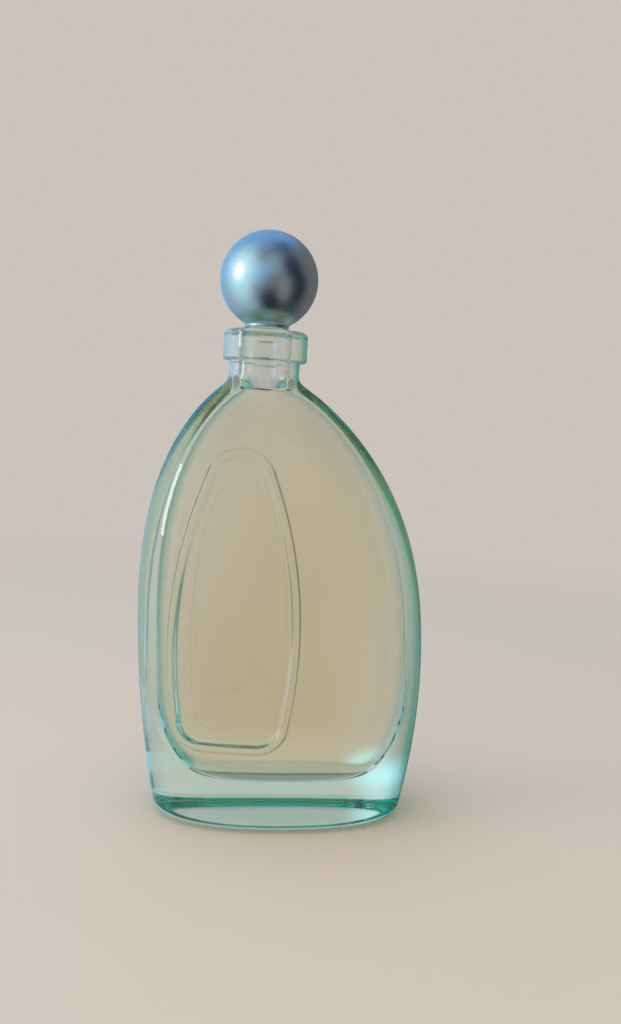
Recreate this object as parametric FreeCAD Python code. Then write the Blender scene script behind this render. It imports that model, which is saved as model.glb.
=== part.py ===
"""A small glass aftershave bottle: a leaning domed flask with a push-in stopper under a silver ball."""
import FreeCAD
import Part
import math
import os

os.makedirs("parts", exist_ok=True)

# Driving dimensions in millimetres. Z is up, the bottle stands on Z = 0 and its front faces -Y.
# The flask
base_width = 30.4
belly_width = 35.4
belly_height = 21.2
base_depth = 17.6
heel_radius = 1.6
wall = 2.6
side_wall = 3.3
floor_thickness = 5.4
inner_corner_height = 9.0
inner_corner_draw = 0.3
# The flask leans: its middle is right of centre at the base and left of centre at the neck
base_offset = 0.56
neck_offset = -4.0
lean_power = 2.36
# How square the cross-section is in front and behind: 2 is an ellipse, more is boxier
front_squareness = 2.35
back_squareness = 3.2
# How long the flask keeps its width and depth before its dome closes: more is fuller
width_fullness = 2.42
depth_fullness = 4.0
# The neck and the rounded lip that the stopper rests on
neck_diameter = 8.5
neck_foot = 50.0
dome_height = 53.9
dome_end_diameter = 6.0
lip_diameter = 10.1
lip_height = 3.6
lip_round = 0.6
lip_under_round = 0.3
mouth_height = 59.2
bore_diameter = 4.1
bore_foot = 49.5
hollow_height = 52.2
hollow_end_diameter = 2.4
# The arched panel on the left of the front, framed by a raised bead
panel_middle = -6.6
panel_foot = 9.6
panel_foot_width = 13.6
panel_wide_height = 24.0
panel_width = 15.2
panel_shoulder_height = 42.2
panel_shoulder_width = 7.8
panel_top = 45.2
panel_corner = 3.6
bead_width = 1.1
bead_height = 0.45
# The aftershave
fill_height = 52.0
fill_gap = 0.02
# The stopper's plug
seat_gap = 0.03
plug_clearance = 0.05
plug_length = 7.0
plug_tip_length = 1.6
plug_tip_diameter = 3.1
plug_core_diameter = 1.9
plug_core_depth = 5.6
seal_count = 3
seal_pitch = 1.5
seal_width = 0.5
seal_clearance = 0.02
flange_diameter = 5.5
flange_height = 0.3
boss_diameter = 3.2
boss_length = 4.4
snap_rise = 0.18
snap_height = 3.2
snap_width = 0.8
# The ball
ball_diameter = 11.8
skirt_diameter = 5.3
skirt_height = 0.5
skirt_blend = 0.5
ball_clearance = 0.05
socket_roof_gap = 0.4

# How finely the flask's cross-sections are drawn
section_points = 24
heel_sections = 4
outer_sections = 16
section_gather = 1.3
corner_sections = 6
inner_sections = 10

neck_radius = neck_diameter / 2
bore_radius = bore_diameter / 2
dome_end = dome_end_diameter / 2
hollow_end = hollow_end_diameter / 2
lip_radius = lip_diameter / 2
flange_top = mouth_height + seat_gap + flange_height


def point(x, y, z):
    return FreeCAD.Vector(x, y, z)


def on_neck(z):
    """The point at height z on the neck's own axis."""
    return point(neck_offset, 0, z)


def middle(z):
    """How far to the right the flask's middle stands at height z."""
    return base_offset + (neck_offset - base_offset) * (z / dome_height) ** lean_power


def closing(size, end_size, rise, fullness):
    """A size that holds for most of a rise from 0 to 1, then closes over to end_size."""
    return size * (1 - (1 - (end_size / size) ** 1.5) * rise ** fullness) ** (2 / 3)


def flask_sizes(z, side_inset, inset, end_radius, end_height):
    """Half width, half depth and squaring of the flask at height z, drawn in by the insets.

    The sides swell to the belly, then close over a dome towards the neck.
    """
    belly = belly_width / 2 - side_inset
    swell = (belly_width - base_width) / 2
    if z <= belly_height:
        half_width = belly - swell * (1 - z / belly_height) ** 2
    else:
        rise = (z - belly_height) / (end_height - belly_height)
        half_width = closing(belly, end_radius, rise, width_fullness)
    climb = z / end_height
    half_depth = closing(base_depth / 2 - inset, end_radius, climb, depth_fullness)
    return half_width, half_depth, 1 - climb ** 2


def section(z, half_width, half_depth, squaring):
    """One closed cross-section: a superellipse, rounder in front and flatter behind."""
    front = 2 + (front_squareness - 2) * squaring
    back = 2 + (back_squareness - 2) * squaring
    points = []
    for step in range(section_points):
        angle = math.pi / 2 + 2 * math.pi * step / section_points
        across = math.cos(angle)
        along = math.sin(angle)
        power = 2 / (front if along < 0 else back)
        x = middle(z) + half_width * math.copysign(abs(across) ** power, across)
        y = half_depth * math.copysign(abs(along) ** power, along)
        points.append(point(x, y, z))
    curve = Part.BSplineCurve()
    curve.interpolate(Points=points, PeriodicFlag=True)
    return Part.Wire([curve.toShape()])


def flask(grow):
    """The flask's solid form from the table, round the heel and up to the neck, larger by grow."""
    end_radius = dome_end + grow
    wires = []
    for step in range(heel_sections):
        turn = math.pi / 2 * step / heel_sections
        z = heel_radius * (1 - math.cos(turn))
        draw = heel_radius * (1 - math.sin(turn))
        half_width, half_depth, squaring = flask_sizes(z, -grow, -grow, end_radius, dome_height)
        wires.append(section(z, half_width - draw, half_depth - draw, squaring))
    for step in range(outer_sections):
        climb = (step / (outer_sections - 1)) ** section_gather
        z = heel_radius + (dome_height - heel_radius) * climb
        wires.append(section(z, *flask_sizes(z, -grow, -grow, end_radius, dome_height)))
    return Part.makeLoft(wires, True, False)


def hollow(gap):
    """The space inside: round-cornered at the floor, closing to the bore at its top.

    It keeps a gap from the glass all round.
    """
    form = (side_wall + gap, wall + gap, hollow_end - gap, hollow_height)
    low = floor_thickness + gap
    wires = []
    for step in range(corner_sections):
        turn = math.pi / 2 * step / corner_sections
        z = low + inner_corner_height * (1 - math.cos(turn))
        scale = 1 - inner_corner_draw * (1 - math.sin(turn))
        half_width, half_depth, squaring = flask_sizes(z, *form)
        wires.append(section(z, half_width * scale, half_depth * scale, squaring))
    low += inner_corner_height
    for step in range(inner_sections):
        z = low + (hollow_height - low) * step / (inner_sections - 1)
        wires.append(section(z, *flask_sizes(z, *form)))
    return Part.makeLoft(wires, True, False)


def turned(outline):
    """A solid turned about the neck's axis from a closed outline of edges."""
    face = Part.Face(Part.Wire(outline))
    return face.revolve(on_neck(0), point(0, 0, 1), 360)


def polyline(corners):
    """Straight edges round a closed outline of (radius, height) corners beside the neck's axis."""
    ends = corners[1:] + corners[:1]
    edges = []
    for (r0, z0), (r1, z1) in zip(corners, ends):
        line = Part.LineSegment(point(neck_offset + r0, 0, z0), point(neck_offset + r1, 0, z1))
        edges.append(line.toShape())
    return edges


def on_panel(x, z):
    """A point of the panel's outline, x to the right of the panel's own middle."""
    return point(panel_middle + x, 0, z)


def panel_face():
    """The panel's outline: straight foot, rounded corners, swelling sides and a round top."""
    half_foot = panel_foot_width / 2
    shoulder = panel_shoulder_width / 2
    bend = panel_corner * (1 - math.sqrt(0.5))
    foot = Part.LineSegment(
        on_panel(panel_corner - half_foot, panel_foot),
        on_panel(half_foot - panel_corner, panel_foot),
    )
    top = Part.Arc(
        on_panel(shoulder, panel_shoulder_height),
        on_panel(0, panel_top),
        on_panel(-shoulder, panel_shoulder_height),
    )
    edges = [foot.toShape(), top.toShape()]
    for side in (-1, 1):
        foot_end = on_panel(side * half_foot, panel_foot + panel_corner)
        corner = Part.Arc(
            on_panel(side * (half_foot - panel_corner), panel_foot),
            on_panel(side * (half_foot - bend), panel_foot + bend),
            foot_end,
        )
        swell = Part.Arc(
            foot_end,
            on_panel(side * panel_width / 2, panel_wide_height),
            on_panel(side * shoulder, panel_shoulder_height),
        )
        edges += [corner.toShape(), swell.toShape()]
    return Part.Face(Part.Wire(Part.__sortEdges__(edges)))


def at_height(edges, z):
    """Those edges that lie wholly at one height."""
    flat = []
    for edge in edges:
        if abs(edge.BoundBox.ZMin - z) < 1e-3 and abs(edge.BoundBox.ZMax - z) < 1e-3:
            flat.append(edge)
    return flat


def glass_bottle():
    """One moulding of clear glass: flask, neck and lip, with a thick floor."""
    body = flask(0)
    neck = Part.makeCylinder(neck_radius, mouth_height - neck_foot, on_neck(neck_foot))
    lip_foot = mouth_height - lip_height
    lip = Part.makeCylinder(lip_radius, lip_height, on_neck(lip_foot))
    lip = lip.makeFillet(lip_round, at_height(lip.Edges, mouth_height))
    lip = lip.makeFillet(lip_under_round, at_height(lip.Edges, lip_foot))
    panel = panel_face()
    ring = panel.cut(panel.makeOffset2D(-bead_width)).extrude(point(0, -base_depth, 0))
    bead = ring.common(flask(bead_height))
    bore = Part.makeCylinder(bore_radius, mouth_height - bore_foot + 1, on_neck(bore_foot))
    return body.fuse([neck, lip, bead]).cut(hollow(0).fuse(bore))


def aftershave():
    """The liquid, up to its level just under the plug."""
    corner = point(-belly_width, -base_depth, fill_height)
    above = Part.makeBox(2 * belly_width, 2 * base_depth, dome_height, corner)
    return hollow(fill_gap).cut(above)


def stopper_plug():
    """The soft push-in plug: hollow shank with seal rings, thin flange, and a boss for the ball."""
    shank = bore_radius - plug_clearance
    flange = flange_diameter / 2
    seat = mouth_height + seat_gap
    tip = seat - plug_length
    boss = boss_diameter / 2
    boss_top = flange_top + boss_length
    plug = turned(polyline([
        (0, tip),
        (plug_tip_diameter / 2, tip),
        (shank, tip + plug_tip_length),
        (shank, seat),
        (flange, seat),
        (flange, flange_top),
        (boss, flange_top),
        (boss, boss_top - snap_rise),
        (boss - snap_rise, boss_top),
        (0, boss_top),
    ]))
    seal = bore_radius - seal_clearance
    rings = []
    for step in range(seal_count):
        low = tip + plug_tip_length + seal_pitch * step
        rings.append(Part.makeCylinder(seal, seal_width, on_neck(low)))
    snap_mid = flange_top + snap_height
    rings.append(turned(polyline([
        (0, snap_mid - snap_width / 2),
        (boss, snap_mid - snap_width / 2),
        (boss + snap_rise, snap_mid),
        (boss, snap_mid + snap_width / 2),
        (0, snap_mid + snap_width / 2),
    ])))
    core = Part.makeCylinder(plug_core_diameter / 2, plug_core_depth, on_neck(tip))
    return plug.fuse(rings).cut(core).removeSplitter()


def stopper_ball():
    """The silver ball on its short skirt, with a socket that snaps over the plug's boss."""
    radius = ball_diameter / 2
    skirt = skirt_diameter / 2
    under = flange_top + seat_gap
    joint = under + skirt_height
    centre = joint + math.sqrt(radius ** 2 - skirt ** 2)
    ball = Part.makeSphere(radius, on_neck(centre))
    ball = ball.fuse(Part.makeCylinder(skirt, radius, on_neck(under)))
    ball = ball.makeFillet(skirt_blend, at_height(ball.Edges, joint))
    socket = boss_diameter / 2 + ball_clearance
    roof = flange_top + boss_length + socket_roof_gap
    groove = socket + snap_rise
    snap_mid = flange_top + snap_height
    hole = turned(polyline([
        (0, under - 1),
        (socket, under - 1),
        (socket, snap_mid - snap_width / 2),
        (groove, snap_mid),
        (socket, snap_mid + snap_width / 2),
        (socket, roof),
        (0, roof),
    ]))
    return ball.cut(hole)


pieces = {
    "glass_bottle": glass_bottle(),
    "aftershave": aftershave(),
    "stopper_plug": stopper_plug(),
    "stopper_ball": stopper_ball(),
}
for name, shape in pieces.items():
    solid = shape.Solids[0]
    box = solid.optimalBoundingBox(False, False)
    millilitres = solid.Volume / 1000
    print(f"{name}: solids {len(shape.Solids)}, valid {solid.isValid()}, {millilitres:.2f} ml")
    print(f"  {box.XLength:.2f} x {box.YLength:.2f} mm, from {box.ZMin:.2f} to {box.ZMax:.2f} mm up")
    solid.exportStep(f"parts/{name}.step")
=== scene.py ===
# %% [markdown]
# # A small glass aftershave bottle
# The bottle has four pieces: a glass flask, the aftershave in it, a soft plug in its neck and a
# silver ball on the plug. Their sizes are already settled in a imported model, so this lesson loads
# that model as a fixed frame and builds the looks around it. Everything here is in metres.

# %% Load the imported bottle
import math

import bmesh
import bpy
import numpy as np
from mathutils import Matrix, Vector
from mathutils.kdtree import KDTree


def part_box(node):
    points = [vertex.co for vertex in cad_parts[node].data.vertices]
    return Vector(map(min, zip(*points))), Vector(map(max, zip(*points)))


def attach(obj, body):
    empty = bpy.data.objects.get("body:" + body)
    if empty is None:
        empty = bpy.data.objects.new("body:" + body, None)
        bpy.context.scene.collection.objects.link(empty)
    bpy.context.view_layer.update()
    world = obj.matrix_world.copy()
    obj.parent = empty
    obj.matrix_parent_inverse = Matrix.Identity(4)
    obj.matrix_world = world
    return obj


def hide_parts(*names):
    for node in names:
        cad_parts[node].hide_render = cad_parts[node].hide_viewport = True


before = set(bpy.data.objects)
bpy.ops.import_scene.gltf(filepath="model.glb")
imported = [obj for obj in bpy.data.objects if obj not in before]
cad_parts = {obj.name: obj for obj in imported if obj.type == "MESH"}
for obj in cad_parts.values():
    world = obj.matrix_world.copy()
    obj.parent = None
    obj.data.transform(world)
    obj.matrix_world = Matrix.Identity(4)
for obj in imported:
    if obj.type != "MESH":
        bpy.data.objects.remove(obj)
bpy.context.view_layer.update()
print("pieces in the packed bottle:", sorted(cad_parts))

# %% [markdown]
# ## Reading sizes from the frame
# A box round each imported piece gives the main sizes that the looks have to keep. Reading them, and
# not typing them, keeps the looks from drifting away from the model. Sizes that no box shows, such
# as a wall's thickness, are typed where they are first needed.

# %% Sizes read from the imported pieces
glass_low, glass_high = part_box("glass_bottle")
aftershave_low, aftershave_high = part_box("aftershave")
plug_low, plug_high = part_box("stopper_plug")
ball_low, ball_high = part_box("stopper_ball")

belly_share = 0.495
mouth_height = glass_high.z
belly_half_width = belly_share * (glass_high.x - glass_low.x)
base_half_depth = glass_high.y
fill_height = aftershave_high.z
neck_x = (ball_low.x + ball_high.x) / 2
ball_top = ball_high.z
ball_radius = (ball_high.x - ball_low.x) / 2
ball_middle = ball_top - ball_radius
print(f"mouth at {mouth_height * 1000:.2f} mm, ball {ball_radius * 2000:.2f} mm across")

# %% [markdown]
# ## Skins from rows of points
# Every piece of this bottle is closed and roughly round, so one helper serves them all. It takes
# rows of points, each row a loop round the piece, and puts a skin of four-sided faces between
# neighbouring rows. A single point closes each end. Subdividing a cylinder would also work, but
# rows let a formula decide where each point goes, and glass shows every lump in a surface.

# %% A helper that skins rows of points
def skin(name, rows, first_end, last_end):
    """A smooth closed mesh from an array of rows x columns x 3, with a point at each end."""
    row_count, column_count = rows.shape[:2]
    points = np.concatenate([rows.reshape(-1, 3), [first_end, last_end]])
    first_tip = row_count * column_count
    last_tip = first_tip + 1
    here = np.arange(column_count)
    ahead = np.roll(here, -1)
    faces = []
    for row in range(row_count - 1):
        low = row * column_count
        high = low + column_count
        faces += np.stack([low + here, low + ahead, high + ahead, high + here], 1).tolist()
    last_row = (row_count - 1) * column_count
    faces += [(first_tip, b, a) for a, b in zip(here.tolist(), ahead.tolist())]
    faces += [(last_tip, last_row + a, last_row + b) for a, b in zip(here.tolist(), ahead.tolist())]
    mesh = bpy.data.meshes.new(name)
    mesh.from_pydata(points.tolist(), [], faces)
    shape = bmesh.new()
    shape.from_mesh(mesh)
    bmesh.ops.recalc_face_normals(shape, faces=shape.faces)
    for face in shape.faces:
        face.smooth = True
    shape.to_mesh(mesh)
    shape.free()
    piece = bpy.data.objects.new(name, mesh)
    bpy.context.scene.collection.objects.link(piece)
    print(f"{name}: {len(mesh.vertices)} points, {len(mesh.polygons)} faces")
    return piece


def spaced(stops, counts):
    """Values that run through the stops, with a number of even steps between each pair."""
    runs = [np.linspace(a, b, n, endpoint=False) for a, b, n in zip(stops, stops[1:], counts)]
    return np.concatenate(runs + [stops[-1:]])


# %% [markdown]
# ## The flask's form
# Seen from the front the flask swells from its base to a belly and closes over a dome towards the
# neck, and it leans: the neck stands to the left of the base's middle. Seen from above it is a
# rounded oblong, rounder in front than behind. A superellipse gives such a loop: with a power of 2
# it is an ellipse, and a higher power makes it boxier. The same formula with the wall's thickness
# taken off gives the space inside.

# %% Flask sizes at any height
base_half_width = 0.0152
belly_height = 0.0212
width_fullness = 2.42
depth_fullness = 4.0
front_squareness = 2.35
back_squareness = 3.2
dome_height = 0.0539
dome_end_radius = 0.003
base_offset = 0.00056
lean_power = 2.36


def middle_line(z):
    """How far to the right the flask's middle stands at each height z."""
    return base_offset + (neck_x - base_offset) * np.clip(z / dome_height, 0, 1) ** lean_power


def closing(size, end_size, rise, fullness):
    """A size that holds for most of a rise from 0 to 1, then closes over to end_size."""
    return size * (1 - (1 - (end_size / size) ** 1.5) * rise ** fullness) ** (2 / 3)


def flask_sizes(z, side_inset, inset, end_radius, end_height):
    """Half width, half depth and squaring of the flask at each height z, drawn in by the insets."""
    climb = np.clip(z / end_height, 0, 1)
    rise = np.clip((z - belly_height) / (end_height - belly_height), 0, 1)
    swell = (belly_half_width - base_half_width) * np.clip(1 - z / belly_height, 0, 1) ** 2
    half_width = closing(belly_half_width - side_inset, end_radius, rise, width_fullness) - swell
    half_depth = closing(base_half_depth - inset, end_radius, climb, depth_fullness)
    return half_width, half_depth, 1 - climb ** 2


def loops(half_width, half_depth, squaring, around):
    """x and y of rounded loops, one row for each size and one column for each angle around."""
    across = np.cos(around)
    along = np.sin(around)
    squareness = np.where(along < 0, front_squareness, back_squareness)
    power = 2 / (2 + (squareness - 2) * squaring[:, None])
    x = half_width[:, None] * np.sign(across) * np.abs(across) ** power
    y = half_depth[:, None] * np.sign(along) * np.abs(along) ** power
    return x, y


def with_height(x, y, z):
    """Rows of points from x, y and one height for each row."""
    return np.stack([x, y, np.broadcast_to(z[:, None], x.shape)], -1)


print(f"flask: {2000 * base_half_width:.1f} mm wide at its base, {2000 * belly_half_width:.1f} at its belly")

# %% [markdown]
# ## The bead on the front
# A raised bead frames an arched panel on the left of the front. It could be a separate tube, but
# on a real moulding it is the same glass, so here it is a swelling of the front surface. First its
# path is drawn as a line and arcs. Only half of it is drawn, and the other half is a mirror copy.

# %% The bead's path on the front
panel_x = -0.0066
panel_foot = 0.0096
panel_foot_half = 0.0068
panel_wide_height = 0.024
panel_half_width = 0.0076
panel_shoulder_height = 0.0422
panel_shoulder_half = 0.0039
panel_top = 0.0452
panel_corner = 0.0036
bead_width = 0.0011
bead_height = 0.00045
bead_crown = 0.0002
bead_reach = 0.00072
path_steps = 120


def arc_through(start, middle, end, steps):
    """Points on the circle through three points, from start towards end."""
    (ax, ay), (bx, by), (cx, cy) = start, middle, end
    twice_area = 2 * (ax * (by - cy) + bx * (cy - ay) + cx * (ay - by))
    a2, b2, c2 = ax * ax + ay * ay, bx * bx + by * by, cx * cx + cy * cy
    ux = (a2 * (by - cy) + b2 * (cy - ay) + c2 * (ay - by)) / twice_area
    uy = (a2 * (cx - bx) + b2 * (ax - cx) + c2 * (bx - ax)) / twice_area
    turns = np.unwrap([math.atan2(y - uy, x - ux) for x, y in (start, middle, end)])
    radius = math.hypot(ax - ux, ay - uy)
    turn = np.linspace(turns[0], turns[2], steps)
    return np.stack([ux + radius * np.cos(turn), uy + radius * np.sin(turn)], 1)


corner_bend = panel_corner * (1 - math.sqrt(0.5))
side_start = (panel_foot_half, panel_foot + panel_corner)
shoulder_point = (panel_shoulder_half, panel_shoulder_height)
right_corner = arc_through(
    (panel_foot_half - panel_corner, panel_foot),
    (panel_foot_half - corner_bend, panel_foot + corner_bend),
    side_start,
    path_steps,
)
right_side = arc_through(side_start, (panel_half_width, panel_wide_height), shoulder_point, 3 * path_steps)
right_top = arc_through(
    shoulder_point, (0, panel_top), (-panel_shoulder_half, panel_shoulder_height), 2 * path_steps
)[:path_steps]
foot_run = np.linspace(0, panel_foot_half - panel_corner, path_steps)
right_foot = np.stack([foot_run, np.full(path_steps, panel_foot)], 1)
right_half = np.concatenate([right_foot, right_corner, right_side, right_top])
panel_path = np.concatenate([right_half, right_half[::-1] * (-1, 1)]) + (panel_x, 0)
panel_middle = np.array([panel_x, (panel_foot + panel_top) / 2])
print(f"bead path: {len(panel_path)} points from {panel_foot} to {panel_path[:, 1].max():.4f} m up")


# %% [markdown]
# ## The bead's height
# Each point of the front now asks how far from the path it is. A tree of the path's points answers
# quickly, and the point's angle from the panel's middle tells whether it is inside or outside. A
# cosine turns that distance into a ridge with a rounded crown and soft feet, as moulded glass has.

# %% How far the bead stands proud at a point of the front
path_tree = KDTree(len(panel_path))
for index, (x, z) in enumerate(panel_path):
    path_tree.insert((x, z, 0), index)
path_tree.balance()
spokes = panel_path - panel_middle
spoke_angles = np.arctan2(spokes[:, 1], spokes[:, 0])
spoke_order = np.argsort(spoke_angles)
spoke_lengths = np.hypot(spokes[:, 0], spokes[:, 1])


def bead_rise(x, z):
    """Height of the bead over the plain front at (x, z): a rounded ridge just inside the path."""
    flat = np.stack([x.ravel(), z.ravel()], 1)
    away = np.array([path_tree.find((px, pz, 0))[2] for px, pz in flat])
    out = flat - panel_middle
    edge = np.interp(
        np.arctan2(out[:, 1], out[:, 0]),
        spoke_angles[spoke_order],
        spoke_lengths[spoke_order],
        period=2 * math.pi,
    )
    inside = np.where(np.hypot(out[:, 0], out[:, 1]) < edge, away, -away)
    offset = np.clip((np.abs(inside - bead_width / 2) - bead_crown) / (bead_reach - bead_crown), 0, 1)
    return (bead_height * (0.5 + 0.5 * np.cos(math.pi * offset))).reshape(x.shape)


print(f"bead: about {1000 * bead_width:.1f} mm wide and {1000 * bead_height:.2f} mm proud")

# %% [markdown]
# ## Where the columns gather
# The bead is about a millimetre wide on a flask of 35, so an even grid fine enough to show it
# would have far too many points. The columns are gathered where the bead's sides run, and the rows
# where its foot and top run, and both stay wide apart elsewhere.

# %% Columns round the flask
left_columns = 14
bead_columns = 22
panel_columns = 42
right_columns = 36
back_columns = 84
gather_share = 0.06


def columns_around(z):
    """Angles of every column at each height, gathered along the bead's sides in front."""
    level = np.clip(z, right_side[0, 1], right_side[-1, 1])
    reach = np.interp(level, right_side[:, 1], right_side[:, 0] - bead_width / 2)
    half_width, _, squaring = flask_sizes(level, 0, 0, dome_end_radius, dome_height)
    squareness = 2 + (front_squareness - 2) * squaring
    stops = [0 * z]
    for side in (-1, 1):
        share = (panel_x + side * reach - middle_line(level)) / half_width
        for edge in (share - gather_share, share + gather_share):
            stops.append(np.arccos(-np.sign(edge) * np.abs(edge) ** (squareness / 2)))
    stops = np.stack(stops + [0 * z + math.pi], 1)
    counts = [left_columns, bead_columns, panel_columns, bead_columns, right_columns]
    front = spaced(np.arange(6.0), counts)[:-1]
    whole = front.astype(int)
    part = front - whole
    angles = stops[:, whole] * (1 - part) + stops[:, whole + 1] * part
    back = np.linspace(math.pi, 2 * math.pi, back_columns, endpoint=False)
    return math.pi + np.concatenate([angles, np.broadcast_to(back, (len(z), back_columns))], 1)


front_columns = left_columns + 2 * bead_columns + panel_columns + right_columns
print(f"{front_columns} columns in front and {back_columns} behind")

# %% [markdown]
# ## The glass from base to mouth
# The outside starts under the base, rounds the heel, climbs the flask and runs into the neck.
# Where dome and neck meet, the larger of the two is taken with a soft blend, which leaves the small
# fillet that molten glass has there. The lip is turned, so its rows are plain circles.

# %% Outside of the flask
heel_radius = 0.0016
neck_radius = 0.00425
neck_blend = 0.0011
lip_radius = 0.00505
lip_height = 0.0036
lip_round = 0.0006
lip_under_round = 0.0003
lip_fillet = 0.0002
mouth_round = 0.0002
bore_radius = 0.00205
neck_row_height = 0.0536
heel_rows = 12
side_stops = np.array([heel_radius, 0.0089, 0.0138, 0.0410, 0.0458, 0.0498, neck_row_height])
side_steps = [18, 44, 60, 44, 22, 24]


def soft_larger(a, b, blend):
    """The larger of two sizes, eased into each other where they are within blend."""
    overlap = np.clip(blend - np.abs(a - b), 0, None) / blend
    return np.maximum(a, b) + overlap ** 2 * blend / 4


def joined_to_circle(x, y, radius, blend):
    """Loops widened so that they nowhere come inside a circle round the neck's axis."""
    length = np.hypot(x - neck_x, y)
    wider = soft_larger(length, radius, blend) / length
    return neck_x + (x - neck_x) * wider, y * wider


heel_turn = np.linspace(0, math.pi / 2, heel_rows, endpoint=False)
heel_z = heel_radius * (1 - np.cos(heel_turn))
heel_inset = heel_radius * (1 - np.sin(heel_turn))
side_z = spaced(side_stops, side_steps)
outer_z = np.concatenate([heel_z, side_z])
outer_inset = np.concatenate([heel_inset, 0 * side_z])
half_width, half_depth, squaring = flask_sizes(outer_z, 0, 0, dome_end_radius, dome_height)
around = columns_around(outer_z)
x, y = loops(half_width - outer_inset, half_depth - outer_inset, squaring, around)
out_x = x / half_width[:, None] ** 2
out_y = y / half_depth[:, None] ** 2
out_length = np.hypot(out_x, out_y)
x = x + middle_line(outer_z)[:, None]
x, y = joined_to_circle(x, y, neck_radius * (outer_z > heel_radius)[:, None], neck_blend)

front_points = y < 0
rise = np.zeros_like(x)
height_of = np.broadcast_to(outer_z[:, None], x.shape)
rise[front_points] = bead_rise(x[front_points], height_of[front_points])
x = x + rise * out_x / out_length
y = y + rise * out_y / out_length
outside = with_height(x, y, outer_z)
print(f"outside of the flask: {outside.shape[0]} rows of {outside.shape[1]} columns")

# %% [markdown]
# ## Underside, lip and mouth
# The underside is flat, so its rows are smaller and smaller copies of the heel's first row. The lip
# is a collar with rounded edges. It could be a bevelled cylinder, but quarter rounds, set end to
# end, keep each round at its own radius and let the rows run on from the neck without a seam.

# %% Underside, lip and mouth
base_rows = 7
smallest_base_row = 0.12
neck_rows = 8
base_shrink = np.linspace(smallest_base_row, 1, base_rows, endpoint=False)
underside = outside[:1] * base_shrink[:, None, None]


def quarter(middle_r, middle_z, radius, start, end, steps):
    """Radius and height along a quarter round, from one angle in degrees to another."""
    turn = np.radians(np.linspace(start, end, steps))
    return np.stack([middle_r + radius * np.cos(turn), middle_z + radius * np.sin(turn)], 1)


def turned(outline, angles):
    """Circles of points round the neck's axis from (radius, height) pairs, at the given angles."""
    radius, height = outline[:, :1], outline[:, 1]
    return with_height(neck_x + radius * np.cos(angles), radius * np.sin(angles), height)


lip_foot = mouth_height - lip_height
neck_angles = np.arctan2(outside[-1, :, 1], outside[-1, :, 0] - neck_x)
neck_z = np.linspace(neck_row_height, lip_foot - lip_fillet, neck_rows + 1)[1:]
lip_outline = np.concatenate([
    np.stack([np.full(neck_rows, neck_radius), neck_z], 1),
    quarter(neck_radius + lip_fillet, lip_foot - lip_fillet, lip_fillet, 180, 90, 6)[1:],
    quarter(lip_radius - lip_under_round, lip_foot + lip_under_round, lip_under_round, -90, 0, 8),
    quarter(lip_radius - lip_round, mouth_height - lip_round, lip_round, 0, 90, 14),
    quarter(bore_radius + mouth_round, mouth_height - mouth_round, mouth_round, 90, 180, 6),
])
lip = turned(lip_outline, neck_angles)
print(f"lip: {2000 * lip_radius:.1f} mm across, {1000 * lip_height:.1f} mm tall")

# %% [markdown]
# ## The space inside
# The bore runs down through the neck and opens into the flask's hollow, which follows the outside
# at the wall's distance and turns in over a thick floor. The aftershave has the same form, so the
# hollow is a function that both use.

# %% Rows of the hollow
wall = 0.0026
side_wall = 0.0033
liquid_gap = 0.00002
floor_thickness = aftershave_low.z - liquid_gap
inner_corner_height = 0.009
inner_corner_draw = 0.3
inner_corner_rows = 16
hollow_height = 0.0522
hollow_end_radius = 0.0012
hollow_stops = (0.9, 0.82, 0.5)
bore_blend = 0.0009
inside_steps = [40, 14, 30, 24]
floor_rows = 8
smallest_floor_row = 0.1


def hollow(top, grow, angles, steps):
    """Rows of the hollow from a height down to the floor, made larger all round by grow."""
    low = floor_thickness - grow
    corner_top = low + inner_corner_height
    stops = [top, *(share * hollow_height for share in hollow_stops), corner_top]
    wall_z = spaced(np.array(stops), steps)
    turn = np.linspace(math.pi / 2, 0, inner_corner_rows)[1:]
    corner_z = low + inner_corner_height * (1 - np.cos(turn))
    z = np.concatenate([wall_z, corner_z])
    draw = np.concatenate([0 * wall_z, inner_corner_draw * (1 - np.sin(turn))])
    form = (side_wall - grow, wall - grow, hollow_end_radius + grow, hollow_height)
    half_width, half_depth, squaring = flask_sizes(z, *form)
    angles = np.broadcast_to(angles, (len(z), len(angles)))
    x, y = loops(half_width * (1 - draw), half_depth * (1 - draw), squaring, angles)
    x = x + middle_line(z)[:, None]
    x, y = joined_to_circle(x, y, (bore_radius + grow) * (z > corner_top)[:, None], bore_blend)
    return with_height(x, y, z)


floor_shrink = np.linspace(1, smallest_floor_row, floor_rows)[1:]
floor_scale = np.stack([floor_shrink, floor_shrink, np.ones_like(floor_shrink)], 1)[:, None, :]
inside = hollow(mouth_height - 2 * mouth_round, 0, neck_angles, inside_steps)
inner_floor = inside[-1:] * floor_scale
glass_rows = np.concatenate([underside, outside, lip, inside, inner_floor])
glass = skin("glass_bottle_shell", glass_rows, (0, 0, 0), (0, 0, floor_thickness))

# %% [markdown]
# ## The aftershave
# Where a liquid touches glass there is no air between them, so light bends only a little there.
# If the liquid's skin stopped just short of the glass, a ray would leave the glass into air and
# the bottle would look empty with a lump of jelly in it. So the liquid's skin lies a hair inside
# the glass. Its top is hollowed a little, as a liquid climbs the wall that holds it.

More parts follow.
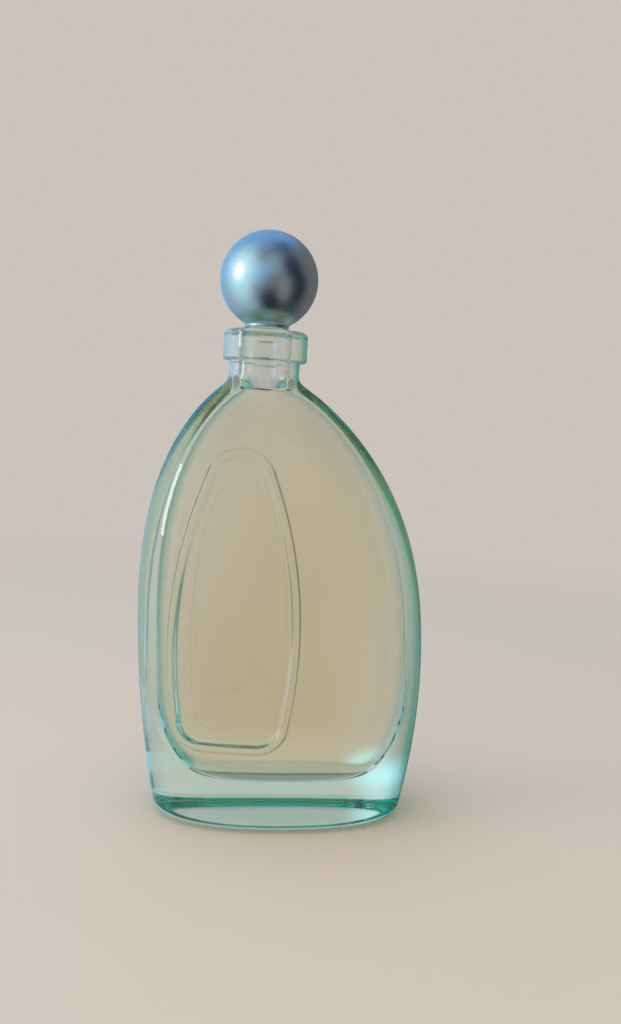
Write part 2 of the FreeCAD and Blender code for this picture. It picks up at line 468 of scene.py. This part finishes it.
# %% The aftershave's skin
wetting = 0.00003
meniscus = 0.0004
top_rows = 14
smallest_top_row = 0.06
climb_power = 6
liquid_columns = 144
liquid_steps = [10, 10, 40, 30]
liquid_angles = np.linspace(0, 2 * math.pi, liquid_columns, endpoint=False)
liquid_sides = hollow(fill_height, wetting, liquid_angles, liquid_steps)
level_middle = np.array([neck_x, 0, fill_height])
level_share = np.linspace(smallest_top_row, 1, top_rows, endpoint=False)
liquid_top = level_middle + (liquid_sides[:1] - level_middle) * level_share[:, None, None]
liquid_top[:, :, 2] -= (meniscus * (1 - level_share ** climb_power))[:, None]
liquid_floor = liquid_sides[-1:] * floor_scale
liquid_rows = np.concatenate([liquid_top, liquid_sides, liquid_floor])
liquid = skin(
    "aftershave_fill", liquid_rows, level_middle - (0, 0, meniscus), (0, 0, floor_thickness - wetting)
)

# %% [markdown]
# ## The plug
# The stopper's plug is a soft turned moulding: a hollow shank with three seal rings that grip the
# bore, a thin flange that rests on the lip, and a boss that the ball snaps over. All of it is
# round, so an outline of radius and height, turned about the neck's axis, is the natural way.
# Soft plastic pressed into glass leaves no air between them, so the shank is a hair too large.

# %% The plug's outline and skin
plug_squeeze = 0.00002
plug_tip_radius = 0.00155
plug_tip_length = 0.0016
plug_core_radius = 0.00095
plug_core_depth = 0.0056
plug_edge = 0.00012
seal_count = 3
seal_start = 0.0001
seal_pitch = 0.0015
seal_width = 0.0005
seal_proud = 0.00002
seat_gap = 0.00003
flange_height = 0.0003
boss_radius = 0.0016
snap_rise = 0.00018
snap_height = 0.0032
snap_width = 0.0008
turned_columns = 96

plug_tip = plug_low.z
plug_top = plug_high.z
flange_radius = (plug_high.x - plug_low.x) / 2
shank_radius = bore_radius + plug_squeeze
seat = mouth_height + seat_gap
flange_top = seat + flange_height
first_seal = plug_tip + plug_tip_length + seal_start


def ridge(radius, low, width, proud, steps):
    """A rounded ridge on a turned outline, from height low upwards."""
    share = np.linspace(0, 1, steps)
    return np.stack([radius + proud * np.sin(math.pi * share), low + width * share], 1)


plug_outline = np.concatenate([
    [(0.0003, plug_tip + plug_core_depth), (plug_core_radius - plug_edge, plug_tip + plug_core_depth)],
    quarter(plug_core_radius - plug_edge, plug_tip + plug_core_depth - plug_edge, plug_edge, 90, 0, 5)[1:],
    quarter(plug_core_radius + plug_edge, plug_tip + plug_edge, plug_edge, 180, 270, 5),
    quarter(plug_tip_radius - plug_edge, plug_tip + plug_edge, plug_edge, -90, 0, 6),
    [(shank_radius, plug_tip + plug_tip_length)],
    *[
        ridge(shank_radius, first_seal + seal_pitch * number, seal_width, seal_proud, 9)
        for number in range(seal_count)
    ],
    [(shank_radius, seat - plug_edge)],
    quarter(shank_radius + plug_edge, seat - plug_edge, plug_edge, 180, 90, 4)[1:],
    quarter(flange_radius - plug_edge, seat + plug_edge, plug_edge, -90, 0, 6),
    quarter(flange_radius - plug_edge, flange_top - plug_edge, plug_edge, 0, 90, 6),
    [(boss_radius + plug_edge, flange_top)],
    quarter(boss_radius + plug_edge, flange_top + plug_edge, plug_edge, 270, 180, 4)[1:],
    ridge(boss_radius, flange_top + snap_height - snap_width / 2, snap_width, snap_rise, 11),
    quarter(boss_radius - snap_rise, plug_top - snap_rise, snap_rise, 0, 90, 6),
])
turned_angles = np.linspace(0, 2 * math.pi, turned_columns, endpoint=False)
plug = skin(
    "stopper_plug_moulding",
    turned(plug_outline, turned_angles),
    (neck_x, 0, plug_tip + plug_core_depth),
    (neck_x, 0, plug_top),
)

# %% [markdown]
# ## The ball
# The ball and its short skirt are one turned form with a socket for the boss. A plain sphere would
# meet the skirt in a crease, so a small hollow round, tangent to both, joins them.

# %% The ball's outline and skin
skirt_radius = 0.00265
skirt_blend = 0.0005
skirt_edge = 0.00012
socket_clearance = 0.00005
socket_roof_gap = 0.0004
ball_columns = 160

skirt_foot = ball_low.z
socket_radius = boss_radius + socket_clearance
socket_roof = plug_top + socket_roof_gap
snap_middle = flange_top + snap_height
blend_r = skirt_radius + skirt_blend
blend_z = ball_middle - math.sqrt((ball_radius + skirt_blend) ** 2 - blend_r ** 2)
meet_angle = math.degrees(math.atan2(blend_z - ball_middle, blend_r))
ball_outline = np.concatenate([
    [(0.0004, socket_roof), (socket_radius - skirt_edge, socket_roof)],
    quarter(socket_radius - skirt_edge, socket_roof - skirt_edge, skirt_edge, 90, 0, 5)[1:],
    ridge(socket_radius, snap_middle + snap_width / 2, -snap_width, snap_rise, 11),
    quarter(socket_radius + skirt_edge, skirt_foot + skirt_edge, skirt_edge, 180, 270, 5),
    quarter(skirt_radius - skirt_edge, skirt_foot + skirt_edge, skirt_edge, -90, 0, 6),
    quarter(blend_r, blend_z, skirt_blend, 180, 180 + meet_angle, 10),
    quarter(0, ball_middle, ball_radius, meet_angle, 89, 110)[1:],
])
ball = skin(
    "stopper_ball_satin",
    turned(ball_outline, np.linspace(0, 2 * math.pi, ball_columns, endpoint=False)),
    (neck_x, 0, socket_roof),
    (neck_x, 0, ball_top),
)

# %% [markdown]
# ## Which piece rides on what
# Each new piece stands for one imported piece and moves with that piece's body: lift the plug and
# the ball goes with it, turn the ball and only the ball turns.

# %% Tie the pieces to the frame
for piece, node, body, finish in [
    (glass, "glass_bottle", "bottle", "clear_glass"),
    (liquid, "aftershave", "bottle", "aftershave"),
    (plug, "stopper_plug", "plug", "natural_polythene"),
    (ball, "stopper_ball", "ball", "satin_silver"),
]:
    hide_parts(node)
    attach(piece, body)
    print(f"{piece.name} stands for {node} and rides on {body}")

# %% [markdown]
# ## Helpers for finishes
# Finishes are built from nodes, so that their grain follows the piece at any distance. A short
# helper makes a node, sets what stays the same all over, and wires what changes.

# %% A helper that adds nodes
def new_finish(name):
    """An empty node material and its tree."""
    finish = bpy.data.materials.new(name)
    finish.use_nodes = True
    finish.node_tree.nodes.clear()
    return finish, finish.node_tree


def add(tree, kind, settings=None, **wires):
    """A node with some sockets set and others wired. Underscores in names stand for spaces."""
    node = tree.nodes.new("ShaderNode" + kind)
    for name, value in (settings or {}).items():
        if hasattr(node, name):
            setattr(node, name, value)
        else:
            node.inputs[name].default_value = value
    for name, source in wires.items():
        tree.links.new(source, node.inputs[name.replace("_", " ")])
    return node


# %% [markdown]
# ## Clear glass
# Soda glass is clear across a thin wall and green along its edge, where light has travelled far
# inside it. A tinted surface can't do that, but a volume can: the further a ray runs in the glass
# the more red it loses. The edge away from the window looks greenest, in fine streaks, because
# window light runs through the glass and leaves there. That is painted: a green shade with a
# drawn-out noise is laid on the surface where that side turns away, and more faintly on the other.
# Moulded glass is never quite flat either, so a slow, very shallow noise bends its reflections.
# Lamps would leave hard black shadows under refracting glass, so the rays that look for lamps pass
# through a thin tint.

# %% Glass finish
glass_finish, tree = new_finish("clear_glass")
place = add(tree, "TexCoord").outputs["Object"]
slow_wave = add(tree, "TexNoise", {"Scale": 160.0, "Detail": 1.0, "Roughness": 0.4}, Vector=place)
fine_wave = add(tree, "TexNoise", {"Scale": 900.0, "Detail": 2.0, "Roughness": 0.5}, Vector=place)
smear = add(tree, "MapRange", {"From Min": 0.45, "From Max": 0.75, "To Min": 0.0, "To Max": 0.035})
tree.links.new(fine_wave.outputs["Fac"], smear.inputs["Value"])
ripple = add(
    tree, "Bump", {"Strength": 0.25, "Distance": 0.00012}, Height=slow_wave.outputs["Fac"]
)
# Painted light: a green shade at glancing edges, strongest on the side away from the window, stands in for
# window light piped through the glass, broken into streaks.
side_faced = add(tree, "SeparateXYZ", None, Vector=add(tree, "TexCoord").outputs["Normal"])
far_side = add(
    tree, "MapRange", {"From Min": 0.2, "From Max": 0.55, "To Min": 0.35}, Value=side_faced.outputs["X"]
)
turned_away = add(tree, "LayerWeight").outputs["Facing"]
glancing = add(tree, "MapRange", {"From Min": 0.28, "From Max": 0.58}, Value=turned_away)
drawn_out = add(tree, "Mapping", {"Scale": (700.0, 700.0, 35.0)}, Vector=place)
streaks = add(tree, "TexNoise", {"Scale": 1.0, "Detail": 1.0}, Vector=drawn_out.outputs["Vector"])
streak_share = add(
    tree, "MapRange", {"From Min": 0.3, "From Max": 0.7, "To Min": 0.82}, Value=streaks.outputs["Fac"]
)
painted_side_edge = add(tree, "Math", {"operation": "MULTIPLY"})
tree.links.new(far_side.outputs["Result"], painted_side_edge.inputs[0])
tree.links.new(glancing.outputs["Result"], painted_side_edge.inputs[1])
painted_green_share = add(tree, "Math", {"operation": "MULTIPLY"})
tree.links.new(painted_side_edge.outputs["Value"], painted_green_share.inputs[0])
tree.links.new(streak_share.outputs["Result"], painted_green_share.inputs[1])
painted_edge_green = add(
    tree,
    "MixRGB",
    {"Color1": (1.0, 1.0, 1.0, 1.0), "Color2": (0.02, 0.38, 0.38, 1.0)},
    Fac=painted_green_share.outputs["Value"],
)
glass_surface = add(
    tree,
    "BsdfPrincipled",
    {"Transmission Weight": 1.0, "IOR": 1.51},
    Base_Color=painted_edge_green.outputs["Color"],
    Roughness=smear.outputs["Result"],
    Normal=ripple.outputs["Normal"],
)
lamp_tint = add(tree, "BsdfTransparent", {"Color": (0.90, 0.95, 0.93, 1.0)})
ray = add(tree, "LightPath")
shade = add(tree, "MixShader", None, Fac=ray.outputs["Is Shadow Ray"])
tree.links.new(glass_surface.outputs["BSDF"], shade.inputs[1])
tree.links.new(lamp_tint.outputs["BSDF"], shade.inputs[2])
green = add(tree, "VolumeAbsorption", {"Color": (0.17, 0.92, 0.88, 1.0), "Density": 24.0})
add(tree, "OutputMaterial", None, Surface=shade.outputs["Shader"], Volume=green.outputs["Volume"])
glass.data.materials.append(glass_finish)
print(f"{glass.name}: a finish of {len(tree.nodes)} nodes")

# %% [markdown]
# ## Aftershave
# The liquid is clear and pale straw. Like the glass it gets its colour from a volume, so a deep part
# is a stronger yellow than a shallow one. It bends light less than glass does, which is why the
# hollow's edges still show through a full bottle. A bare trace of ripple keeps its top from being
# a perfect mirror.

# %% Aftershave finish
liquid_finish, tree = new_finish("aftershave")
place = add(tree, "TexCoord").outputs["Object"]
swirl = add(tree, "TexNoise", {"Scale": 220.0, "Detail": 1.0}, Vector=place)
still = add(tree, "Bump", {"Strength": 0.05, "Distance": 0.00005}, Height=swirl.outputs["Fac"])
liquid_surface = add(
    tree,
    "BsdfPrincipled",
    {"Base Color": (1.0, 1.0, 1.0, 1.0), "Transmission Weight": 1.0, "IOR": 1.36, "Roughness": 0.0},
    Normal=still.outputs["Normal"],
)
lamp_tint = add(tree, "BsdfTransparent", {"Color": (0.98, 0.97, 0.90, 1.0)})
ray = add(tree, "LightPath")
shade = add(tree, "MixShader", None, Fac=ray.outputs["Is Shadow Ray"])
tree.links.new(liquid_surface.outputs["BSDF"], shade.inputs[1])
tree.links.new(lamp_tint.outputs["BSDF"], shade.inputs[2])
straw = add(tree, "VolumeAbsorption", {"Color": (0.88, 0.62, 0.02, 1.0), "Density": 36.0})
add(tree, "OutputMaterial", None, Surface=shade.outputs["Shader"], Volume=straw.outputs["Volume"])
liquid.data.materials.append(liquid_finish)
print(f"{liquid.name}: a finish of {len(tree.nodes)} nodes")

# %% [markdown]
# ## Natural polythene
# The plug is unpigmented polythene: nearly clear when thin, with a faint cloud in it. A white
# plastic would look like a solid block in the neck. So the plug lets light through like the glass,
# but with a little roughness that changes from place to place, and with a very fine grain.

# %% Plug finish
plug_finish, tree = new_finish("natural_polythene")
place = add(tree, "TexCoord").outputs["Object"]
cloud = add(tree, "TexNoise", {"Scale": 700.0, "Detail": 3.0}, Vector=place)
tone = add(tree, "ValToRGB", None, Fac=cloud.outputs["Fac"])
tone.color_ramp.elements[0].color = (0.95, 0.97, 0.96, 1)
tone.color_ramp.elements[1].color = (1.0, 1.0, 1.0, 1)
dull = add(tree, "MapRange", {"To Min": 0.08, "To Max": 0.18}, Value=cloud.outputs["Fac"])
grain = add(tree, "TexNoise", {"Scale": 5000.0, "Detail": 2.0}, Vector=place)
skin_bump = add(tree, "Bump", {"Strength": 0.15, "Distance": 0.00003}, Height=grain.outputs["Fac"])
plug_surface = add(
    tree,
    "BsdfPrincipled",
    {"Transmission Weight": 1.0, "IOR": 1.51},
    Base_Color=tone.outputs["Color"],
    Roughness=dull.outputs["Result"],
    Normal=skin_bump.outputs["Normal"],
)
add(tree, "OutputMaterial", None, Surface=plug_surface.outputs["BSDF"])
plug.data.materials.append(plug_finish)
print(f"{plug.name}: a finish of {len(tree.nodes)} nodes")

# %% [markdown]
# ## Satin silver
# The ball is metal with a blasted, satin surface: reflections are there, but soft. Roughness makes
# them soft, a faint mottle keeps the finish from being the same all over, and a bump finer than the
# eye can count stands for the blasting.

# %% Ball finish
ball_finish, tree = new_finish("satin_silver")
place = add(tree, "TexCoord").outputs["Object"]
mottle = add(tree, "TexNoise", {"Scale": 450.0, "Detail": 4.0, "Roughness": 0.6}, Vector=place)
tone = add(tree, "ValToRGB", None, Fac=mottle.outputs["Fac"])
tone.color_ramp.elements[0].color = (0.60, 0.64, 0.68, 1)
tone.color_ramp.elements[1].color = (0.70, 0.74, 0.78, 1)
sheen = add(tree, "MapRange", {"To Min": 0.30, "To Max": 0.38}, Value=mottle.outputs["Fac"])
grit = add(tree, "TexNoise", {"Scale": 9000.0, "Detail": 2.0}, Vector=place)
blasted = add(tree, "Bump", {"Strength": 0.12, "Distance": 0.00002}, Height=grit.outputs["Fac"])
ball_surface = add(
    tree,
    "BsdfPrincipled",
    {"Metallic": 1.0},
    Base_Color=tone.outputs["Color"],
    Roughness=sheen.outputs["Result"],
    Normal=blasted.outputs["Normal"],
)
add(tree, "OutputMaterial", None, Surface=ball_surface.outputs["BSDF"])
ball.data.materials.append(ball_finish)
print(f"{ball.name}: a finish of {len(tree.nodes)} nodes")

# %% [markdown]
# ## What glass and silver show
# Glass and silver have hardly any colour of their own: they show what is around them. A studio
# puts cards and screens round a bottle for that reason. Here they are soft round patches of colour,
# each in one direction from the bottle. Silver throws back the room: a bright window on the left,
# a dark right. Glass is looked through, so it has cards of its own. They are pale all round, so
# that the bottle is clear from every side, with a sky and a table, a little green and white at the
# sides, and two dim ones that draw the bead.

# %% Patches of colour round the bottle
backdrop_colour = (0.60, 0.55, 0.50, 1.0)
room_colour = (0.17, 0.18, 0.18, 1.0)
room_patches = [
    ("sky on the left", (-0.6, 0.6, 0.5), 25, 65, (0.30, 0.60, 0.92, 1.0)),
    ("overhead", (-0.1, 0.3, 1.0), 15, 50, (0.22, 0.46, 0.78, 1.0)),
    # Patches below the horizon are painted on the table as glass and silver see it: a painted sheen on the
    # left, painted shade on the right, and darker in front.
    ("painted sheen on the table on the left", (-0.85, 0.1, -0.5), 22, 56, (0.36, 0.52, 0.64, 1.0)),
    ("painted shade on the table on the right", (0.6, -0.1, -0.75), 20, 50, (0.06, 0.065, 0.07, 1.0)),
    ("wall in front", (0.1, -0.85, 0.5), 10, 32, (0.30, 0.42, 0.50, 1.0)),
    ("bright wall on the left", (-0.45, -0.87, 0.2), 8, 28, (0.28, 0.56, 0.84, 1.0)),
    ("low wall in front", (0.5, -0.8, -0.25), 8, 22, (0.30, 0.32, 0.32, 1.0)),
    ("shade overhead", (0.3, -0.2, 0.93), 8, 24, (0.05, 0.11, 0.24, 1.0)),
    ("shade high on the right", (0.68, -0.58, 0.46), 12, 30, (0.01, 0.018, 0.045, 1.0)),
    ("shade on the right", (0.93, -0.36, -0.1), 12, 30, (0.012, 0.018, 0.03, 1.0)),
    ("dark table in front", (-0.08, -0.75, -0.66), 18, 36, (0.008, 0.006, 0.012, 1.0)),
    ("window", (-0.95, -0.2, 0.28), 14, 54, (0.72, 1.12, 1.2, 1.0)),
]
card_colour = (0.57, 0.50, 0.42, 1.0)
cards_around = [
    ("sky", (0.0, 0.0, 1.0), 30, 78, (0.26, 0.31, 0.36, 1.0)),
    ("table below", (0.0, 0.0, -1.0), 28, 50, (0.66, 0.58, 0.50, 1.0)),
    ("green card", (-0.78, 0.42, -0.38), 22, 44, (0.48, 0.53, 0.46, 1.0)),
    ("low green card", (-0.6, 0.0, -0.78), 14, 28, (0.40, 0.60, 0.51, 1.0)),
    ("white card", (0.85, 0.3, -0.2), 26, 44, (0.62, 0.63, 0.75, 1.0)),
    ("low white card", (0.8, -0.2, -0.57), 24, 42, (0.66, 0.70, 0.90, 1.0)),
    ("dim card on the left", (-0.46, 0.86, -0.2), 5, 15, (0.30, 0.275, 0.225, 1.0)),
    ("dim card on the right", (0.66, 0.72, -0.2), 5, 15, (0.26, 0.24, 0.20, 1.0)),
]


def paint(tree, towards, colour, patches):
    """Lay soft round patches over a colour, one after the other, and give the colour that results."""
    for name, aim, inner, outer, patch_colour in patches:
        facing = add(tree, "VectorMath", {"operation": "DOT_PRODUCT"})
        tree.links.new(towards, facing.inputs[0])
        facing.inputs[1].default_value = Vector(aim).normalized()
        edge = add(tree, "MapRange", {"interpolation_type": "SMOOTHSTEP"}, Value=facing.outputs["Value"])
        edge.inputs["From Min"].default_value = math.cos(math.radians(outer))
        edge.inputs["From Max"].default_value = math.cos(math.radians(inner))
        laid = add(tree, "MixRGB", {"Color2": patch_colour}, Fac=edge.outputs["Result"], Color1=colour)
        laid.label = name
        colour = laid.outputs["Color"]
    return colour


def surroundings(tree, towards, ray):
    """The cards for rays that have passed through glass, and the room for all others."""
    painted = []
    for colour, patches in ((room_colour, room_patches), (card_colour, cards_around)):
        plain = add(tree, "RGB").outputs["Color"]
        plain.default_value = colour
        painted.append(paint(tree, towards, plain, patches))
    return add(
        tree, "MixRGB", None, Fac=ray.outputs["Is Transmission Ray"], Color1=painted[0], Color2=painted[1]
    ).outputs["Color"]


print(f"{len(room_patches)} patches in the room, {len(cards_around)} cards for the glass")

# %% [markdown]
# ## The table
# The bottle stands on a plain pale table that fades into a backdrop of the same colour, so no
# horizon shows. Glass and silver see the painted surroundings on it. Their direction is taken from
# a point inside the bottle, so the patches run on from the room over the table without a break.

# %% The table
table_colour = (0.64, 0.535, 0.445, 1.0)
table_drop = 0.00005
table_radius = 1.2
rim_points = 96
fade_start = 0.08
fade_end = 0.30
eye_height = 0.035
rim = [
    (table_radius * math.cos(turn), table_radius * math.sin(turn), -table_drop)
    for turn in np.linspace(0, 2 * math.pi, rim_points, endpoint=False)
]
table_mesh = bpy.data.meshes.new("table")
table_mesh.from_pydata(rim, [], [list(range(len(rim)))])
table = bpy.data.objects.new("table", table_mesh)
bpy.context.scene.collection.objects.link(table)

table_finish, tree = new_finish("pale_table")
place = add(tree, "TexCoord").outputs["Object"]
ray = add(tree, "LightPath")
far = add(tree, "VectorMath", {"operation": "LENGTH"})
tree.links.new(place, far.inputs[0])
fade = add(
    tree,
    "MapRange",
    {"interpolation_type": "SMOOTHSTEP", "From Min": fade_start, "From Max": fade_end},
    Value=far.outputs["Value"],
)
fade_seen = add(tree, "Math", {"operation": "MULTIPLY"})
tree.links.new(fade.outputs["Result"], fade_seen.inputs[0])
tree.links.new(ray.outputs["Is Camera Ray"], fade_seen.inputs[1])
lit = add(tree, "BsdfPrincipled", {"Base Color": table_colour, "Roughness": 0.7, "Specular IOR Level": 0.2})
distance = add(tree, "Emission", {"Color": backdrop_colour, "Strength": 1.0})
plain_table = add(tree, "MixShader", None, Fac=fade_seen.outputs["Value"])
tree.links.new(lit.outputs["BSDF"], plain_table.inputs[1])
tree.links.new(distance.outputs["Emission"], plain_table.inputs[2])

from_bottle = add(tree, "VectorMath", {"operation": "SUBTRACT"})
tree.links.new(place, from_bottle.inputs[0])
from_bottle.inputs[1].default_value = (0, 0, eye_height)
towards = add(tree, "VectorMath", {"operation": "NORMALIZE"})
tree.links.new(from_bottle.outputs["Vector"], towards.inputs[0])
painted = add(tree, "Emission", {"Strength": 1.0}, Color=surroundings(tree, towards.outputs["Vector"], ray))
in_glass_or_silver = add(tree, "Math", {"operation": "MAXIMUM"})
tree.links.new(ray.outputs["Is Glossy Ray"], in_glass_or_silver.inputs[0])
tree.links.new(ray.outputs["Is Transmission Ray"], in_glass_or_silver.inputs[1])
look = add(tree, "MixShader", None, Fac=in_glass_or_silver.outputs["Value"])
tree.links.new(plain_table.outputs["Shader"], look.inputs[1])
tree.links.new(painted.outputs["Emission"], look.inputs[2])
add(tree, "OutputMaterial", None, Surface=look.outputs["Shader"])
table_mesh.materials.append(table_finish)
print(f"table: plain out to {fade_start} m, all backdrop from {fade_end} m")

# %% [markdown]
# ## The room
# The room is the same painting on the world around the bottle, and its soft light falls on the
# table and the plug. The camera itself sees only the plain backdrop there.

# %% The room's soft light
room = bpy.data.worlds.new("room")
room.use_nodes = True
bpy.context.scene.world = room
tree = room.node_tree
tree.nodes.clear()
towards = add(tree, "TexCoord").outputs["Generated"]
ray = add(tree, "LightPath")
shown = add(
    tree,
    "MixRGB",
    {"Color2": backdrop_colour},
    Fac=ray.outputs["Is Camera Ray"],
    Color1=surroundings(tree, towards, ray),
)
glow = add(tree, "Background", {"Strength": 1.0}, Color=shown.outputs["Color"])
add(tree, "OutputWorld", None, Surface=glow.outputs["Background"])
print("room painted with", len(tree.nodes), "nodes")

# %% [markdown]
# ## A glow in the corner
# Window light that runs down inside the glass leaves it at the lower right corner and makes it
# glow. Following such light from the window takes very many rays, so a small soft card
# behind that corner stands in for it. Only rays that have passed through glass see it.

# %% The glow card
glow_middle = (0.0122, 0.0104, 0.0024)
glow_half_width = 0.0042
glow_half_height = 0.0034
glow_colour = (0.80, 1.08, 1.15, 1.0)
glow_bend = 0.15
glow_points_across = 25
glow_side = np.linspace(-1, 1, glow_points_across)
glow_x, glow_z = np.meshgrid(glow_side, glow_side)
glow_points = np.stack([
    glow_middle[0] + glow_half_width * glow_x,
    glow_middle[1] - glow_bend * glow_half_width * glow_x ** 2,
    np.maximum(glow_middle[2] + glow_half_height * glow_z, table_drop),
], -1)
glow_corners = [
    row * glow_points_across + column
    for row in range(glow_points_across - 1)
    for column in range(glow_points_across - 1)
]
glow_faces = [
    (corner, corner + 1, corner + 1 + glow_points_across, corner + glow_points_across)
    for corner in glow_corners
]
glow_mesh = bpy.data.meshes.new("glow_card")
glow_mesh.from_pydata(glow_points.reshape(-1, 3).tolist(), [], glow_faces)
glow_card = bpy.data.objects.new("glow_card", glow_mesh)
bpy.context.scene.collection.objects.link(glow_card)

glow_finish, tree = new_finish("corner_glow")
place = add(tree, "TexCoord").outputs["Object"]
from_middle = add(tree, "VectorMath", {"operation": "SUBTRACT"})
tree.links.new(place, from_middle.inputs[0])
from_middle.inputs[1].default_value = glow_middle
spread = add(tree, "VectorMath", {"operation": "DIVIDE"})
tree.links.new(from_middle.outputs["Vector"], spread.inputs[0])
spread.inputs[1].default_value = (glow_half_width, 1.0, glow_half_height)
reach = add(tree, "VectorMath", {"operation": "LENGTH"})
tree.links.new(spread.outputs["Vector"], reach.inputs[0])
soft = add(
    tree,
    "MapRange",
    {"interpolation_type": "SMOOTHSTEP", "From Min": 1.0, "From Max": 0.1},
    Value=reach.outputs["Value"],
)
ray = add(tree, "LightPath")
glow_seen = add(tree, "Math", {"operation": "MULTIPLY"})
tree.links.new(soft.outputs["Result"], glow_seen.inputs[0])
tree.links.new(ray.outputs["Is Transmission Ray"], glow_seen.inputs[1])
nothing = add(tree, "BsdfTransparent")
shine = add(tree, "Emission", {"Color": glow_colour, "Strength": 1.0})
look = add(tree, "MixShader", None, Fac=glow_seen.outputs["Value"])
tree.links.new(nothing.outputs["BSDF"], look.inputs[1])
tree.links.new(shine.outputs["Emission"], look.inputs[2])
add(tree, "OutputMaterial", None, Surface=look.outputs["Shader"])
glow_mesh.materials.append(glow_finish)
print("glow card behind the lower right corner")

# %% [markdown]
# ## Lamps
# Two lamps stand where the window is. A narrow pane is the only lamp that shows in reflections, and
# gives the glass its crisp glints. A broader lamp round it gives the shadow its direction. A third
# lamp overhead lights the table evenly. A studio hides such lamps from the glass with screens, and
# here they are simply not shown in it.

# %% The window and the overhead lamp
bottle_middle = Vector((0, 0, ball_top / 2))


def soft_lamp(name, place, size, colour, energy):
    """A rectangular lamp that faces the bottle's middle."""
    light = bpy.data.lights.new(name, "AREA")
    light.shape = "RECTANGLE"
    light.size, light.size_y = size
    light.color = colour
    light.energy = energy
    lamp = bpy.data.objects.new(name, light)
    lamp.location = place
    lamp.rotation_euler = (bottle_middle - Vector(place)).to_track_quat("-Z", "Y").to_euler()
    lamp.visible_camera = False
    bpy.context.scene.collection.objects.link(lamp)
    print(f"{name} lamp: {(Vector(place) - bottle_middle).length:.2f} m away")
    return lamp


pane = soft_lamp("window_pane", (-1.44, -0.21, 0.37), (0.18, 0.51), (0.86, 0.96, 1.0), 2.25)
window = soft_lamp("window", (-1.44, -0.21, 0.40), (0.6, 1.0), (0.86, 0.96, 1.0), 7.2)
overhead = soft_lamp("overhead", (-0.1, -0.1, 0.7), (0.6, 0.6), (1.0, 0.87, 0.75), 4.2)
for screened in (window, overhead):
    screened.visible_glossy = False
for lamp in (pane, window, overhead):
    lamp.visible_transmission = False

# %% [markdown]
# ## The camera
# The camera stands a little to the left of the bottle, near the height of its shoulder, and is
# tilted slightly, as a hand would hold it.

# %% The camera
camera_place = Vector((-0.016543, -0.119343, 0.047536))
camera_yaw = math.radians(-9.163)
camera_tilt = math.radians(90 - 4.715)
camera_roll = math.radians(3.443)
photo_lens = bpy.data.cameras.new("camera")
photo_lens.sensor_width = 36.0
photo_lens.lens = 34.384
photo_lens.clip_start = 0.005
camera = bpy.data.objects.new("camera", photo_lens)
camera.matrix_world = (
    Matrix.Translation(camera_place)
    @ Matrix.Rotation(camera_yaw, 4, "Z")
    @ Matrix.Rotation(camera_tilt, 4, "X")
    @ Matrix.Rotation(camera_roll, 4, "Z")
)
bpy.context.scene.collection.objects.link(camera)
bpy.context.scene.camera = camera
print(f"camera {(camera_place - bottle_middle).length:.3f} m from the bottle's middle")

# %% [markdown]
# ## Colour and light paths
# The Standard view shows colours as they were chosen. A ray in thick glass is thrown back many
# times before it gets out, and each time uses up a bounce. With too few of them the edges turn
# black, so they get plenty. Caustics would only add specks here, so they are off.

# %% Colour and light paths
light_bounces = 24
scene = bpy.context.scene
scene.view_settings.view_transform = "Standard"
scene.cycles.max_bounces = light_bounces
scene.cycles.transmission_bounces = light_bounces
scene.cycles.glossy_bounces = light_bounces
scene.cycles.caustics_refractive = False
print("up to", light_bounces, "bounces for each ray")
